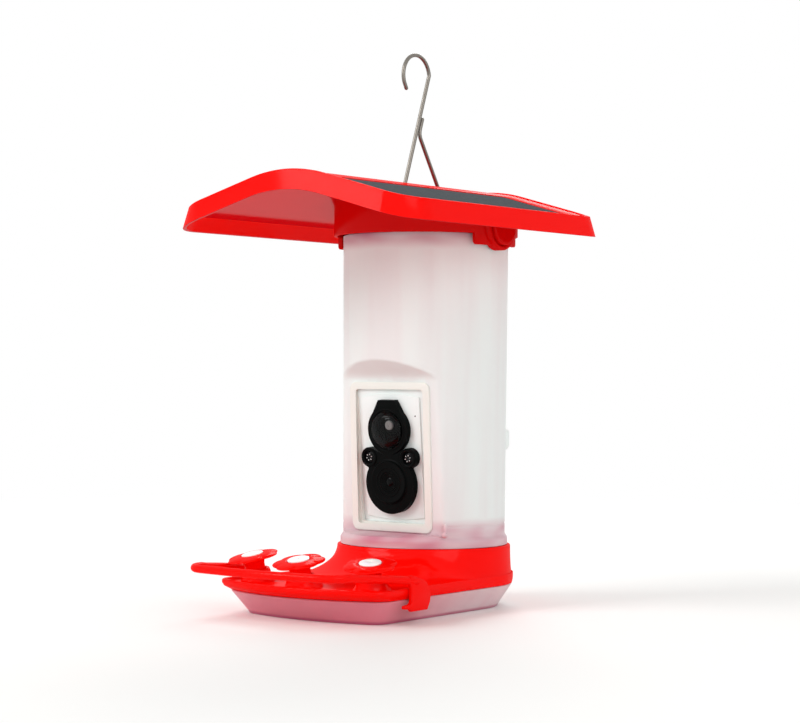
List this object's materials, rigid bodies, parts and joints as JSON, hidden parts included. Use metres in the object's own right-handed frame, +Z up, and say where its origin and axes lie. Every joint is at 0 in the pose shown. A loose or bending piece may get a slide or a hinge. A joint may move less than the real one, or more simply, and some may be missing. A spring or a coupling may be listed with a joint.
{
  "type": "smart bird feeder",
  "caption": "Hummingbird feeder: a frosted nectar bottle with a camera in its front, a solar roof on a wire hanger, and a twist-off red base with flower ports and a perch.",
  "frame": {"origin": "on the bottle's axis, on the face that the nectar tray stands on", "axes": "+Z up along the bottle; the flowers, the perch and the camera face -Y; +X is the object's right as seen from the front"},
  "size_m": [0.1724, 0.2159, 0.3197],
  "materials": {
    "red_plastic": "glossy red moulded plastic",
    "frosted_plastic": "frosted translucent plastic",
    "tray_plastic": "clear plastic with a slight haze",
    "white_plastic": "satin off-white plastic",
    "port_plastic": "glossy white plastic",
    "black_plastic": "glossy black plastic",
    "dark_lens": "polished black lens",
    "sensor_window": "dark infrared window with a faceted inside",
    "steel_wire": "bright bent steel wire",
    "screw_steel": "zinc-plated screws",
    "spring_steel": "spring steel",
    "seal_rubber": "soft grey silicone",
    "port_rubber": "soft off-white rubber",
    "solar_cells": "dark laminated solar cells",
    "circuit_board": "green soldermask",
    "battery_sleeve": "blue shrink sleeve"
  },
  "bodies": {
    "base": {"nectar_tray": "tray_plastic", "tray_gasket": "seal_rubber", "base_deck": "red_plastic", "bottle_seal": "seal_rubber", "perch_rail": "red_plastic"},
    "bottle": {"nectar_bottle": "frosted_plastic", "roof_shell": "red_plastic", "roof_collar": "red_plastic", "collar_screw_front_left": "screw_steel", "collar_screw_front_right": "screw_steel", "collar_screw_rear_left": "screw_steel", "collar_screw_rear_right": "screw_steel", "hanger_retainer": "black_plastic", "retainer_screw_left": "screw_steel", "retainer_screw_right": "screw_steel", "solar_panel_left": "solar_cells", "solar_panel_right": "solar_cells", "button_spring_left": "spring_steel", "button_spring_right": "spring_steel"},
    "flower_left": {"flower_left": "red_plastic", "port_insert_left": "port_plastic"},
    "flower_middle": {"flower_middle": "red_plastic", "port_insert_middle": "port_plastic"},
    "flower_right": {"flower_right": "red_plastic", "port_insert_right": "port_plastic"},
    "hanger": {"hanger_wire": "steel_wire"},
    "release_button_left": {"release_button_left": "red_plastic"},
    "release_button_right": {"release_button_right": "red_plastic"},
    "camera": {"camera_front_shell": "white_plastic", "camera_rear_shell": "white_plastic", "camera_screw_upper_left": "screw_steel", "camera_screw_upper_right": "screw_steel", "camera_screw_lower_left": "screw_steel", "camera_screw_lower_right": "screw_steel", "camera_faceplate": "black_plastic", "motion_sensor_dome": "sensor_window", "lens_cover": "dark_lens", "lens_barrel": "black_plastic", "infrared_lamp_left": "dark_lens", "infrared_lamp_right": "dark_lens", "main_board": "circuit_board", "battery_cell": "battery_sleeve"},
    "port_cover": {"charging_port_cover": "port_rubber"}
  },
  "joints": [
    {"name": "base_twist", "type": "hinge", "parent": "base", "child": "bottle", "pos_m": [0, 0, 0.0196], "axis": [0, 0, 1], "range_deg": [0, 30]},
    {"name": "flower_left_lift", "type": "slide", "parent": "base", "child": "flower_left", "axis": [-0.085, -0.2083, 0.9744], "range_m": [0, 0.018]},
    {"name": "flower_middle_lift", "type": "slide", "parent": "base", "child": "flower_middle", "axis": [0, -0.225, 0.9744], "range_m": [0, 0.018]},
    {"name": "flower_right_lift", "type": "slide", "parent": "base", "child": "flower_right", "axis": [0.085, -0.2083, 0.9744], "range_m": [0, 0.018]},
    {"name": "hanger_swing", "type": "hinge", "parent": "bottle", "child": "hanger", "pos_m": [0, 0, 0.2385], "axis": [0, 1, 0], "range_deg": [-45, 45]},
    {"name": "release_button_left_press", "type": "slide", "parent": "bottle", "child": "release_button_left", "axis": [1, 0, 0], "range_m": [0, 0.0025], "stiffness_N_per_m": 800, "deforming": ["button_spring_left"]},
    {"name": "release_button_right_press", "type": "slide", "parent": "bottle", "child": "release_button_right", "axis": [-1, 0, 0], "range_m": [0, 0.0025], "stiffness_N_per_m": 800, "deforming": ["button_spring_right"]},
    {"name": "camera_pull", "type": "slide", "parent": "bottle", "child": "camera", "axis": [0, 1, 0], "range_m": [0, 0.085]},
    {"name": "charging_port_cover_flap", "type": "hinge", "parent": "camera", "child": "port_cover", "pos_m": [0, 0.04925, 0.0644], "axis": [1, 0, 0], "range_deg": [0, 100]}
  ]
}
